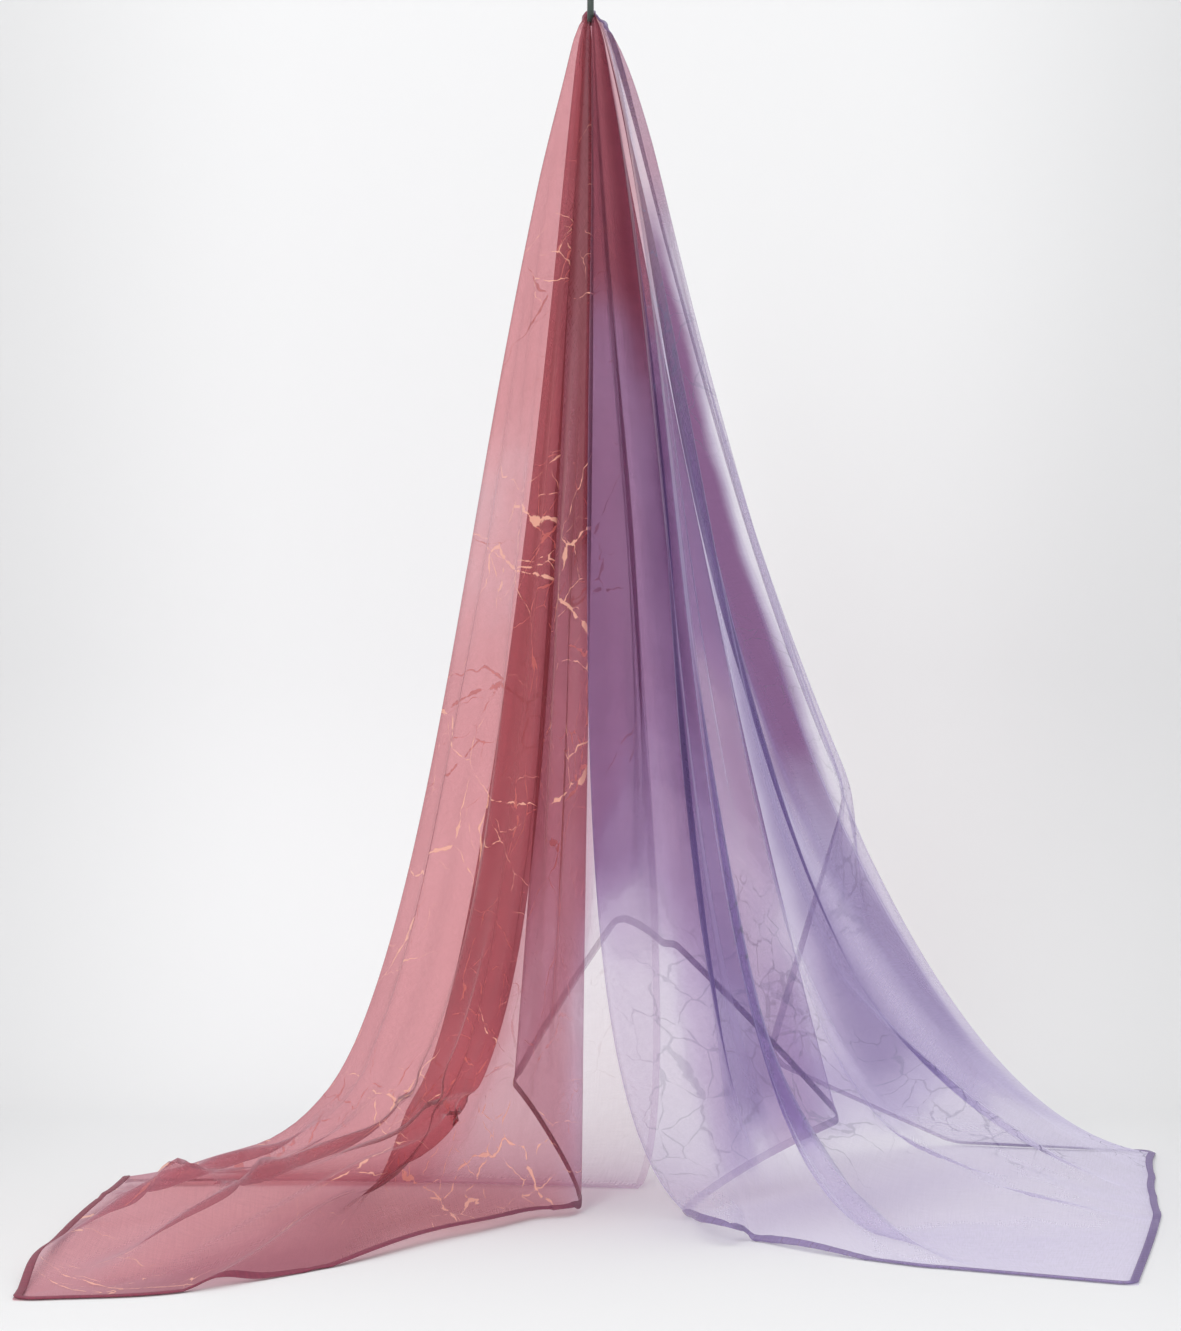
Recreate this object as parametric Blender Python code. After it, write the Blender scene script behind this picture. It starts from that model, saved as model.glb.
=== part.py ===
"""A sheer hijab: one long chiffon rectangle, held at the middle of a long edge by a steel hook.

The cloth fans out below the hook in deep pleats, like a tent, and its two ends lie on the ground.
The origin is the top face of the hook's plate, +Z is up, and the front of the part faces -Y.
"""
import math
from collections import namedtuple

import bmesh
import bpy
import numpy as np

# The flat cut, with its rolled hem, in metres.
FLAT_LENGTH = 1.80
FLAT_WIDTH = 0.70
HEM_WIDTH = 0.0057
HEM_THICKNESS = 0.0014
WALL = 0.0010
GAP = 0.0003
HEM_INSET = HEM_WIDTH + 3 * GAP
HALF_LENGTH = FLAT_LENGTH / 2

# Heights: the pinched point of the cloth above the ground, and the hook's plate above that point.
PINCH_HEIGHT = 0.790
HOOK_DROP = 0.060
GROUND_Z = -(PINCH_HEIGHT + HOOK_DROP)

# The hook: a bent wire below a round plate.
WIRE_RADIUS = 0.0022
BEND_RADIUS = 0.0090
PLATE_RADIUS = 0.0150
PLATE_THICKNESS = 0.0030

# The gather, where the layers are pressed together in two lobes over the wire. A lobe's width and
# depth grow with a power of the way down, and its surface has shallow pleats.
GATHER_DEPTH = 0.070
LOBE_LEFT = 0.0290
LOBE_RIGHT = 0.0380
LOBE_FRONT = 0.0440
LOBE_BACK = 0.0430
LOBE_POWER = 0.6
SADDLE_HALF = 0.0042
SADDLE_SPREAD = 0.0024
WIRE_SLACK = 0.0005
SLIT = 0.0004
PLEATS = 6
PLEAT_DEPTH = 0.05
LOBE_SIDES = 20
LOBE_SECTIONS = 5

# A fold turns round two soft corners, with this much cloth between them at the hook and for each
# metre below it. A corner's rounding reaches this share of the way to the fold's middle.
TURN_AT_HOOK = 0.0030
TURN_PER_METRE = 0.0080
CORNER_ROUNDING = 0.8
SHOULDER_REACH = 0.030
SOFTENING = 0.012
ROWS = 19

# Where a stretch has lines of points round its fold, in shares of the fold's turn.
TURN_SHARES = (-1.6, -0.45, 0.45, 1.6)

# One row for each fold, in the order of the cloth. The angle is where the fold runs on the flat
# cloth, seen from the pinched point: 0 lies along the left half of the held edge and 180 along the
# right half. A fold falls on a smooth curve from the hook that starts towards "knee", comes in
# from "heel" and ends at "foot", with heights above the ground. "shoulder" is how far it swells
# sideways over the bend of the hook.
Fold = namedtuple("Fold", "angle knee heel foot shoulder")
FOLD_TABLE = {
    "left_edge":    (0.0, (0.020, 0.115, 0.520), (0.075, 0.180, 0.020), (0.033, 0.022, 0.0), 0.004),
    "left_side":    (20.0, (-0.084, 0.011, 0.554), (-0.102, 0.110, 0.052), (-0.229, 0.092, 0.010), 0.003),
    "rose_front":   (37.9, (-0.036, -0.059, 0.437), (-0.012, -0.049, 0.032), (-0.130, -0.134, 0.044), 0.002),
    "rose_back":    (47.0, (-0.025, 0.028, 0.487), (-0.079, 0.004, 0.085), (-0.116, -0.039, 0.065), 0.012),
    "middle_front": (62.0, (0.004, -0.100, 0.505), (-0.010, -0.100, 0.200), (-0.007, -0.039, 0.0), 0.002),
    "inner_rose":   (76.5, (-0.020, 0.020, 0.500), (-0.035, 0.030, 0.250), (-0.052, 0.050, 0.068), 0.003),
    "inner_violet": (88.0, (0.003, -0.025, 0.560), (0.042, 0.020, 0.370), (0.020, 0.060, 0.177), 0.004),
    "inner_pale":   (98.5, (0.016, 0.045, 0.600), (0.034, 0.060, 0.370), (0.055, 0.100, 0.157), 0.005),
    "inner_right":  (110.5, (0.055, -0.010, 0.500), (0.110, 0.010, 0.250), (0.168, 0.040, 0.045), 0.005),
    "violet_front": (121.5, (0.006, -0.125, 0.510), (-0.030, -0.120, 0.070), (0.065, -0.086, 0.0), 0.012),
    "valley":       (129.3, (0.048, -0.105, 0.500), (0.067, -0.020, 0.046), (0.103, -0.181, 0.0), 0.012),
    "pleat_front":  (136.5, (0.066, -0.175, 0.510), (0.045, -0.070, -0.020), (0.203, -0.271, 0.0), 0.014),
    "pleat_lying":  (142.1, (0.078, -0.135, 0.480), (0.060, -0.040, -0.055), (0.210, -0.180, 0.0), 0.010),
    "pleat_right":  (153.0, (0.115, -0.050, 0.400), (0.080, -0.010, 0.040), (0.360, -0.080, 0.0), 0.004),
    "outer_valley": (157.5, (0.062, -0.010, 0.450), (0.120, 0.030, 0.040), (0.370, -0.010, 0.0), 0.012),
    "outer_front":  (162.5, (0.050, 0.040, 0.440), (0.140, 0.060, 0.090), (0.385, 0.070, 0.0), 0.022),
    "right_side":   (168.7, (0.085, 0.070, 0.490), (0.190, 0.090, 0.035), (0.405, 0.190, 0.0), 0.028),
    "right_edge":   (180.0, (0.075, 0.120, 0.520), (0.130, 0.140, 0.360), (0.178, 0.150, 0.262), 0.022),
}

FOLDS = {name: Fold(*row) for name, row in FOLD_TABLE.items()}

# Places that a fold runs on to past its foot, as the right end of the held edge turns inwards.
RUNS = {
    "left_side": ((-0.315, 0.036, 0.005),),
    "rose_front": ((-0.245, -0.270, 0.0), (-0.318, -0.357, 0.0)),
    "rose_back": ((-0.131, -0.097, 0.022), (-0.157, -0.227, 0.0)),
    "pleat_lying": ((0.308, -0.324, 0.0),),
    "right_edge": ((0.122, 0.150, 0.072), (0.270, 0.230, 0.0)),
}

# The way that a fold which lies on the ground would carry on past its foot, towards the corners.
ONWARD = {
    "left_edge": (-0.60, -0.50), "left_side": (-0.80, -0.60), "rose_front": (-0.80, -0.60),
    "rose_back": (-0.50, -0.87), "middle_front": (-0.20, -1.40), "violet_front": (0.20, -1.00),
    "valley": (0.50, -0.90), "pleat_front": (0.60, -0.90), "pleat_lying": (0.60, -0.80),
    "pleat_right": (0.80, -0.60), "outer_valley": (0.80, -0.60), "outer_front": (0.80, -0.40),
    "right_side": (0.80, -0.20), "right_edge": (0.80, 0.00),
}

# Folds whose two layers lie on one another on the ground, with the later layer on top.
LAID_OVER = {"left_side": 1.0}

NAMES = tuple(FOLDS)
ANGLES = np.radians([fold.angle for fold in FOLDS.values()])

# Colours of the print, from rose at the left end to lavender at the right.
ROSE = (0.56, 0.25, 0.29)
MAUVE = (0.42, 0.24, 0.33)
VIOLET = (0.36, 0.28, 0.50)
PALE = (0.60, 0.58, 0.68)
HEM_ROSE = (0.24, 0.09, 0.13)
HEM_VIOLET = (0.28, 0.21, 0.34)
STEEL = (0.09, 0.10, 0.09)
CHIFFON_ROUGHNESS = 0.8
STEEL_ROUGHNESS = 0.35
TINTS = {
    "left_edge": ROSE, "left_side": ROSE, "rose_front": ROSE, "rose_back": ROSE,
    "middle_front": MAUVE, "inner_rose": MAUVE, "right_side": PALE, "right_edge": PALE,
}


def reach(angle, inset=0.0):
    """Cloth from the pinched point to a line inside the cut edge by the inset.

    It is the nearer of the far long edge and the short end.
    """
    sine = np.maximum(np.sin(angle), 1e-9)
    cosine = np.maximum(np.abs(np.cos(angle)), 1e-9)
    return np.minimum((FLAT_WIDTH - inset) / sine, (HALF_LENGTH - inset) / cosine)


def arc_lengths(points):
    """Distance along a line of points, from its first one."""
    steps = np.linalg.norm(np.diff(points, axis=0), axis=1)
    return np.concatenate(([0.0], np.cumsum(steps)))


def unit(vectors):
    """Vectors of length one."""
    return vectors / np.maximum(np.linalg.norm(vectors, axis=-1, keepdims=True), 1e-9)


def fold_line(name, steps=160, run_steps=40):
    """A cubic curve from the hook to the foot, then straight runs, each with the swell added.

    The swell grows to its full size within the first centimetres and fades towards the foot.
    """
    fold = FOLDS[name]
    top = np.array((0.0, 0.0, PINCH_HEIGHT))
    knee, heel, foot = np.array(fold.knee), np.array(fold.heel), np.array(fold.foot)
    t = np.linspace(0.0, 1.0, steps)[:, None]
    line = (1 - t) ** 3 * top + 3 * (1 - t) ** 2 * t * knee + 3 * (1 - t) * t ** 2 * heel
    line += t ** 3 * foot
    run = np.linspace(0.0, 1.0, run_steps)[1:, None]
    for place in RUNS.get(name, ()):
        line = np.vstack((line, line[-1] + (np.array(place) - line[-1]) * run))
    down = arc_lengths(line)
    swell = fold.shoulder * (1 - np.exp(-down / SHOULDER_REACH)) * (1 - down / down[-1])
    line[:, :2] += swell[:, None] * unit(knee[:2])
    return line


def measured_line(name):
    """The fold's line at even steps of the cloth's own distance from the hook.

    The cloth's reach along the fold is spread evenly over the line. Past the foot the line carries
    on straight, along the ground if it lies there and otherwise in its last direction. Each point
    is then the mean of its neighbourhood, so that the line bends softly where it lands.
    """
    line = fold_line(name)
    distance = arc_lengths(line)
    distance = distance / distance[-1] * reach(ANGLES[NAMES.index(name)])
    onward = (line[-1] - line[-4]) / (distance[-1] - distance[-4])
    if name in ONWARD:
        onward = np.array((*ONWARD[name], 0.0))
    line = np.vstack((line, line[-1] + onward))
    distance = np.append(distance, distance[-1] + 1.0)
    even = np.arange(-SOFTENING, 1.4, SOFTENING)
    before = line[0] + (line[1] - line[0]) / distance[1] * np.minimum(even, 0.0)[:, None]
    points = np.stack([np.interp(even, distance, line[:, axis]) for axis in range(3)], axis=-1)
    points = np.where(even[:, None] < 0, before, points)
    soft = (points[:-2] + 2 * points[1:-1] + points[2:]) / 4
    return even[1:-1], soft, unit(np.gradient(soft, axis=0))


LINES = [measured_line(name) for name in NAMES]


def at_distance(distance, along, values):
    """Values at distances from the hook, between those given at steps along a line."""
    return np.stack([np.interp(distance, along, values[:, axis]) for axis in range(3)], axis=-1)


def turn_angle(distance):
    """Half the cloth between a fold's two corners, as an angle at the pinched point."""
    return (TURN_AT_HOOK + TURN_PER_METRE * distance) / (2 * np.maximum(distance, 0.01))


def cloth(angle, distance):
    """Places of cloth points, given by their angle and distance from the pinched point.

    Each fold turns round two corners that lie on either side of its line, square to it and across
    the way that the cloth folds, or along the cloth itself where the fold has opened out flat.
    Between corners the cloth runs straight. Each change of direction
    is a ramp that is eased over the corner's rounding, and the ramps add.
    """
    angle, distance = np.broadcast_arrays(np.asarray(angle, float), np.asarray(distance, float))
    lines = [at_distance(distance, along, line) for along, line, _ in LINES]
    turn = turn_angle(distance)
    corners, places = [np.full_like(angle, ANGLES[0])], [lines[0]]
    for fold in range(1, len(ANGLES) - 1):
        before = (lines[fold] - lines[fold - 1]) / (ANGLES[fold] - ANGLES[fold - 1])
        after = (lines[fold + 1] - lines[fold]) / (ANGLES[fold + 1] - ANGLES[fold])
        along = at_distance(distance, LINES[fold][0], LINES[fold][2])
        across = unit(before) + unit(after)
        across[..., 2] += LAID_OVER.get(NAMES[fold], 0.0)
        across = unit(across - along * np.sum(across * along, axis=-1, keepdims=True))
        across = across * (turn * distance)[..., None]
        flat = np.clip(np.sum(unit(before) * unit(after), axis=-1), 0.0, 1.0)[..., None] ** 2
        corners += [ANGLES[fold] - turn, ANGLES[fold] + turn]
        places.append(lines[fold] - across * (1 - flat) - before * turn[..., None] * flat)
        places.append(lines[fold] + across * (1 - flat) + after * turn[..., None] * flat)
    corners.append(np.full_like(angle, ANGLES[-1]))
    places.append(lines[-1])
    slopes = [
        (places[i + 1] - places[i]) / (corners[i + 1] - corners[i])[..., None]
        for i in range(len(corners) - 1)
    ]
    rounding = CORNER_ROUNDING * turn
    found = places[0] + slopes[0] * (angle - corners[0])[..., None]
    for i in range(1, len(slopes)):
        past = angle - corners[i]
        eased = np.where(past > rounding, past, (past + rounding) ** 2 / (4 * rounding))
        eased = np.where(past < -rounding, 0.0, eased)
        found = found + (slopes[i] - slopes[i - 1]) * eased[..., None]
    found[..., 2] = np.maximum(found[..., 2], WALL / 2) + GROUND_Z
    return found


def finish(name, colour, roughness, metallic=0.0):
    """A plain material of one colour."""
    material = bpy.data.materials.new(name)
    material.use_nodes = True
    shader = material.node_tree.nodes["Principled BSDF"]
    shader.inputs["Base Color"].default_value = (*colour, 1.0)
    shader.inputs["Roughness"].default_value = roughness
    shader.inputs["Metallic"].default_value = metallic
    material.diffuse_color = (*colour, 1.0)
    return material


def add_object(name, data, material, collection):
    """Puts a mesh or a curve in the collection under its name."""
    data.materials.clear()
    data.materials.append(material)
    item = bpy.data.objects.new(name, data)
    collection.objects.link(item)
    return item


def grid_faces(index):
    """Triangles between the lines of a grid of point numbers."""
    one = np.stack((index[:-1, :-1], index[1:, :-1], index[1:, 1:]), axis=-1)
    other = np.stack((index[:-1, :-1], index[1:, 1:], index[:-1, 1:]), axis=-1)
    return np.concatenate((one.reshape(-1, 3), other.reshape(-1, 3)))


def closed_mesh(name, places, faces):
    """A closed mesh with its faces pointing out."""
    mesh = bpy.data.meshes.new(name)
    mesh.from_pydata(places.reshape(-1, 3).tolist(), [], [list(face) for face in faces])
    shape = bmesh.new()
    shape.from_mesh(mesh)
    bmesh.ops.triangulate(shape, faces=shape.faces)
    bmesh.ops.recalc_face_normals(shape, faces=shape.faces)
    shape.to_mesh(mesh)
    shape.free()
    mesh.shade_smooth()
    return mesh


def cloth_normals(angle, distance, step=0.0005):
    """Directions square to the cloth, from the cloth a small step to either side each way."""
    swing = step / distance
    across = cloth(angle + swing, distance) - cloth(angle - swing, distance)
    down = cloth(angle, distance + step) - cloth(angle, distance - step)
    return unit(np.cross(across, down))


def cloth_wall(name, angle, distance, thickness, material, collection):
    """A wall of cloth about a grid of its points, moved out to both sides.

    Both sides have the same triangles, the four edges are closed between them, and the underside
    is flat where it lies on the ground.
    """
    middle = cloth(angle, distance)
    out = cloth_normals(angle, distance) * thickness / 2
    sides = np.stack((middle + out, middle - out))
    sides[..., 2] = np.maximum(sides[..., 2], GROUND_Z)
    index = np.arange(sides.size // 3).reshape(sides.shape[:3])
    front, back = index
    faces = [grid_faces(front), grid_faces(back)[:, ::-1]]
    for rim in (index[:, 0], index[:, -1], index[:, :, 0], index[:, :, -1]):
        faces.append(grid_faces(rim))
    add_object(name, closed_mesh(name, sides, np.concatenate(faces)), material, collection)


def fold_stations(fold):
    """Places across a stretch: its two cuts, and between them where its fold starts and ends.

    A station is an angle, a share of the fold's turn to add, and a step of cloth to add.
    """
    if fold in (0, len(ANGLES) - 1):
        stations = [(ANGLES[fold], 0.0, 0.0)]
    else:
        stations = [(ANGLES[fold], share, 0.0) for share in TURN_SHARES]
    if fold > 0:
        stations.insert(0, ((ANGLES[fold - 1] + ANGLES[fold]) / 2, 0.0, GAP / 2))
    if fold < len(ANGLES) - 1:
        stations.append(((ANGLES[fold] + ANGLES[fold + 1]) / 2, 0.0, -GAP / 2))
    return stations


def station_angle(station, distance):
    """A station's angle at a distance from the pinched point, clear of the held edge's hem."""
    angle, share, step = station
    inset = np.arcsin(HEM_INSET / distance)
    return np.clip(angle + share * turn_angle(distance) + step / distance, inset, math.pi - inset)


def meeting(station, inset):
    """Where a station's line meets a line inside the cut edge: its angle and its distance."""
    distance = reach(station[0], inset)
    for _ in range(6):
        angle = station_angle(station, distance)
        distance = reach(angle, inset)
    return angle, distance


def leaves_gather(angle_of):
    """Cloth distance at which a line of the cloth comes down to the gather's flat underside."""
    distance = np.linspace(0.03, 0.25, 400)
    heights = cloth(angle_of(distance), distance)[..., 2]
    level = PINCH_HEIGHT - GATHER_DEPTH - GAP + GROUND_Z
    return float(np.interp(-level, -heights, distance))


def build_falls(collection):
    """The hanging stretches of the cloth, from the gather down to the hem's inner edge."""
    for fold, name in enumerate(NAMES):
        angles, distances = [], []
        for station in fold_stations(fold):
            start = leaves_gather(lambda distance: station_angle(station, distance))
            line = np.linspace(start, meeting(station, HEM_INSET)[1], ROWS)
            distances.append(line)
            angles.append(station_angle(station, line))
        tint = finish("chiffon_" + name, TINTS.get(name, VIOLET), CHIFFON_ROUGHNESS)
        cloth_wall("fall_" + name, np.array(angles), np.array(distances), WALL, tint, collection)


def hem_band(name, flat, tint, collection):
    """A band between points of the cut edge and of the hem's inner line on the flat cut."""
    flat = np.array(flat)
    angle = np.arctan2(flat[..., 1], flat[..., 0])
    distance = np.hypot(flat[..., 0], flat[..., 1])
    cloth_wall(name, angle, distance, HEM_THICKNESS, tint, collection)


def end_band(met, side):
    """The hem of one end, from the held edge to the far corner."""
    ends = (side * HALF_LENGTH, side * (HALF_LENGTH - HEM_WIDTH))
    middle = [row for row in met if np.allclose(row[:, 0], ends)]
    middle.sort(key=lambda row: row[0, 1])
    return [[(u, 0.0) for u in ends]] + middle[1:] + [[(u, FLAT_WIDTH) for u in ends]]


def build_hems(collection):
    """The rolled hem, in five bands: the two halves of the held edge, two ends and the long edge.

    The bands share their stations with the stretches that they close, so the two never touch.
    """
    rose = finish("hem_rose", HEM_ROSE, CHIFFON_ROUGHNESS)
    violet = finish("hem_violet", HEM_VIOLET, CHIFFON_ROUGHNESS)
    met = []
    for fold in range(len(ANGLES)):
        for station in fold_stations(fold):
            ways = [meeting(station, inset) for inset in (0.0, HEM_WIDTH)]
            met.append(np.array([(way * math.cos(a), way * math.sin(a)) for a, way in ways]))
    hem_band("hem_left_end", end_band(met, 1), rose, collection)
    hem_band("hem_right_end", end_band(met, -1), violet, collection)
    depths = (FLAT_WIDTH, FLAT_WIDTH - HEM_WIDTH)
    corner = HALF_LENGTH - HEM_INSET
    long = [row for row in met if np.allclose(row[:, 1], depths) and abs(row[0, 0]) < corner]
    long = [[(corner, v) for v in depths]] + long + [[(-corner, v) for v in depths]]
    hem_band("hem_long", long, violet, collection)
    for name, side, tint in (("hem_left_edge", 1, rose), ("hem_right_edge", -1, violet)):
        angle = 0.0 if side > 0 else math.pi
        start = leaves_gather(lambda distance: np.full_like(distance, angle))
        line = np.linspace(start, corner, ROWS)
        hem_band(name, [[(side * u, 0.0), (side * u, HEM_WIDTH)] for u in line], tint, collection)


def lobe_sections(outer):
    """Sections of one lobe from the wire's top down: inner point, outer point and half depth.

    Over the wire the section plane turns about the wire's centre. Below it the plane is level, and
    the two lobes close up to a slit.
    """
    wire_depth = BEND_RADIUS - WIRE_SLACK
    clear = WIRE_RADIUS + GAP
    grown = outer * (wire_depth / GATHER_DEPTH) ** LOBE_POWER
    rows = []
    for share in np.linspace(0.0, 1.0, LOBE_SECTIONS):
        sine, cosine = math.sin(share * math.pi / 2), math.cos(share * math.pi / 2)
        inner = (clear * sine, clear * cosine - wire_depth)
        rim = (grown * sine, wire_depth * cosine - wire_depth)
        rows.append((inner, rim, SADDLE_HALF + SADDLE_SPREAD * share))
    below = SADDLE_HALF + SADDLE_SPREAD
    full = (LOBE_FRONT + LOBE_BACK) / 2
    for step in np.linspace(0.0, 1.0, LOBE_SECTIONS + 3)[1:]:
        depth = wire_depth + (GATHER_DEPTH - wire_depth) * step ** 1.5
        grown = (depth / GATHER_DEPTH) ** LOBE_POWER
        closing = min(1.0, max(0.0, (depth - wire_depth - clear) / clear))
        inner = (clear + (SLIT - clear) * closing, -depth)
        rows.append((inner, (outer * grown, -depth), below + (full - below) * grown ** 2))
    return rows


def lobe_rings(side, outer):
    """Rings of points round one lobe's sections, with shallow pleats, on one side of the hook."""
    around = np.linspace(0.0, 2 * math.pi, LOBE_SIDES, endpoint=False)
    rings = []
    for inner, rim, depth in lobe_sections(outer):
        inner, rim = np.array(inner), np.array(rim)
        fullness = min(1.0, depth / LOBE_BACK)
        pleats = 1 - PLEAT_DEPTH * fullness * (1 - np.cos(PLEATS * around))
        flat = (inner + rim) / 2 + (rim - inner) / 2 * (np.cos(around) * pleats)[:, None]
        shift = (LOBE_BACK - LOBE_FRONT) / 2 * fullness ** 2
        y = shift + depth * np.sin(around) * pleats
        rings.append(np.stack((side * flat[:, 0], y, flat[:, 1] - HOOK_DROP), axis=-1))
    return rings


def build_gather(collection):
    """The gathered top of the cloth: an arch of pressed layers over the wire, in two lobes."""
    left, right = lobe_rings(-1, LOBE_LEFT), lobe_rings(1, LOBE_RIGHT)
    places = np.array(left[::-1] + right[1:])
    index = np.arange(places.shape[0] * LOBE_SIDES).reshape(-1, LOBE_SIDES)
    faces = grid_faces(np.concatenate((index, index[:, :1]), axis=1)).tolist()
    faces += [index[0].tolist(), index[-1].tolist()]
    mesh = closed_mesh("gather", places, faces)
    add_object("gather", mesh, finish("chiffon_gather", ROSE, CHIFFON_ROUGHNESS), collection)


def build_hook(collection):
    """A round plate, and below it a wire that is bent into a hook."""
    steel = finish("steel", STEEL, STEEL_ROUGHNESS, metallic=1.0)
    bpy.ops.mesh.primitive_cylinder_add(
        vertices=32, radius=PLATE_RADIUS, depth=PLATE_THICKNESS, location=(0, 0, -PLATE_THICKNESS / 2))
    made = bpy.context.object
    plate = add_object("hook_plate", made.data, steel, collection)
    plate.location = made.location
    bpy.data.objects.remove(made)
    middle = WIRE_SLACK - HOOK_DROP
    bend = [(0.0, -BEND_RADIUS * math.cos(a), middle - BEND_RADIUS * math.sin(a))
            for a in np.linspace(0.0, math.pi, 13)]
    top = (0.0, -BEND_RADIUS, -PLATE_THICKNESS - GAP)
    tip = (0.0, BEND_RADIUS, middle + BEND_RADIUS)
    curve = bpy.data.curves.new("hook_wire", "CURVE")
    curve.dimensions = "3D"
    curve.bevel_depth = WIRE_RADIUS
    curve.bevel_resolution = 2
    curve.use_fill_caps = True
    spline = curve.splines.new("POLY")
    route = [top] + bend + [tip]
    spline.points.add(len(route) - 1)
    for point, place in zip(spline.points, route):
        point.co = (*place, 1.0)
    add_object("hook_wire", curve, steel, collection)


def main():
    """Clears the scene and builds the hijab on its hook."""
    for item in list(bpy.data.objects):
        bpy.data.objects.remove(item)
    collection = bpy.data.collections.new("hijab")
    bpy.context.scene.collection.children.link(collection)
    build_falls(collection)
    build_hems(collection)
    build_gather(collection)
    build_hook(collection)


main()
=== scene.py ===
"""A sheer printed hijab that hangs in deep pleats from a wire hook, with both ends on the floor.

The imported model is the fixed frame. The cloth, its rolled hem and the finish of the hook are made
here, from the hook's place and the cloth's flat cut, in metres. The flat cut has its own
coordinates: along the held edge from the pinched point, with the rose end positive, and down from
that edge.
"""
import math

import bpy
import mathutils
import numpy as np
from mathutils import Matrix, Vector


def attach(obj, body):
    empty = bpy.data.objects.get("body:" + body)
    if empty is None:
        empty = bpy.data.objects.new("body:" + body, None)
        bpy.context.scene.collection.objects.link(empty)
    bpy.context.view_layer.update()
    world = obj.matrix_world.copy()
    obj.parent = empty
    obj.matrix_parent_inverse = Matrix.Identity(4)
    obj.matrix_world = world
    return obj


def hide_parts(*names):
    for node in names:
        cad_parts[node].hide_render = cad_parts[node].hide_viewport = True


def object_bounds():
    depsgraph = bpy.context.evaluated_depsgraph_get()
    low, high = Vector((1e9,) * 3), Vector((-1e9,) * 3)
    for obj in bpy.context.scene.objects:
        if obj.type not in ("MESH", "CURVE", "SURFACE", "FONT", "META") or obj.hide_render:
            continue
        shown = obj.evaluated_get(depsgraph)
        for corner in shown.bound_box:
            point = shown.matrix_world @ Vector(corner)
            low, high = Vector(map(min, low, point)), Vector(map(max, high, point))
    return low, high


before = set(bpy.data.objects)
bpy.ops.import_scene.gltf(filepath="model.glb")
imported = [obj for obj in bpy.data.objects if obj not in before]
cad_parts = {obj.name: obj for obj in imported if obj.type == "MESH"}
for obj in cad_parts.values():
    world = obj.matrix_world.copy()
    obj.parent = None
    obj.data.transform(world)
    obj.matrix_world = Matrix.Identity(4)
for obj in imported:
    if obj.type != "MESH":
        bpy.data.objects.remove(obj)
cad_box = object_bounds()
ground = cad_box[0].z

# ---------------------------------------------------------------------------------------------
# The camera stands level in front of the scarf, a little below its middle, on a long lens.

CAMERA_DISTANCE = 2.2
CAMERA_HEIGHT = 0.353
SEEN_HEIGHT = 0.8873
SENSOR_SIDE = 36.0

camera = bpy.data.objects.new("camera", bpy.data.cameras.new("camera"))
bpy.context.scene.collection.objects.link(camera)
camera.location = (0.0, -CAMERA_DISTANCE, ground + CAMERA_HEIGHT)
camera.rotation_euler = (math.pi / 2, 0.0, 0.0)
camera.data.sensor_width = SENSOR_SIDE
camera.data.lens = SENSOR_SIDE * CAMERA_DISTANCE / SEEN_HEIGHT
bpy.context.scene.camera = camera

# ---------------------------------------------------------------------------------------------
# The room is a plain pale sweep of paper: a floor that turns up into a wall behind the scarf.

PAPER = (0.86, 0.865, 0.87)
# The paper is a little darker at the sides, as painted shade where less light falls: its share of brightness
# there, and the distances from the middle between which it darkens.
PAPER_SHADED_EDGE = 0.84
PAPER_SHADE_SPAN = (0.26, 0.62)
SWEEP_FRONT = -6.0
SWEEP_BACK = 0.75
SWEEP_TOP = 5.0
SWEEP_RADIUS = 0.35
SWEEP_HALF_WIDTH = 4.0


class Value:
    """A shader socket that takes part in Python sums: each operator adds its Math node."""

    def __init__(self, nodes, socket):
        self.nodes = nodes
        self.socket = socket

    def math(self, operation, *values):
        return self.nodes.add("ShaderNodeMath", {"operation": operation}, values)

    def __add__(self, other):
        return self.math("ADD", self, other)

    def __sub__(self, other):
        return self.math("SUBTRACT", self, other)

    def __rsub__(self, other):
        return self.math("SUBTRACT", other, self)

    def __mul__(self, other):
        return self.math("MULTIPLY", self, other)

    def __truediv__(self, other):
        return self.math("DIVIDE", self, other)

    def __rtruediv__(self, other):
        return self.math("DIVIDE", other, self)

    def __pow__(self, other):
        return self.math("POWER", self, other)

    def __rpow__(self, other):
        return self.math("POWER", other, self)

    __radd__ = __add__
    __rmul__ = __mul__

    def between(self, low, high):
        """0 at low and below, 1 at high and above, and a smooth step between them."""
        values = {"Value": self, "From Min": low, "From Max": high}
        return self.nodes.add("ShaderNodeMapRange", {"interpolation_type": "SMOOTHSTEP"}, values)


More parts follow.
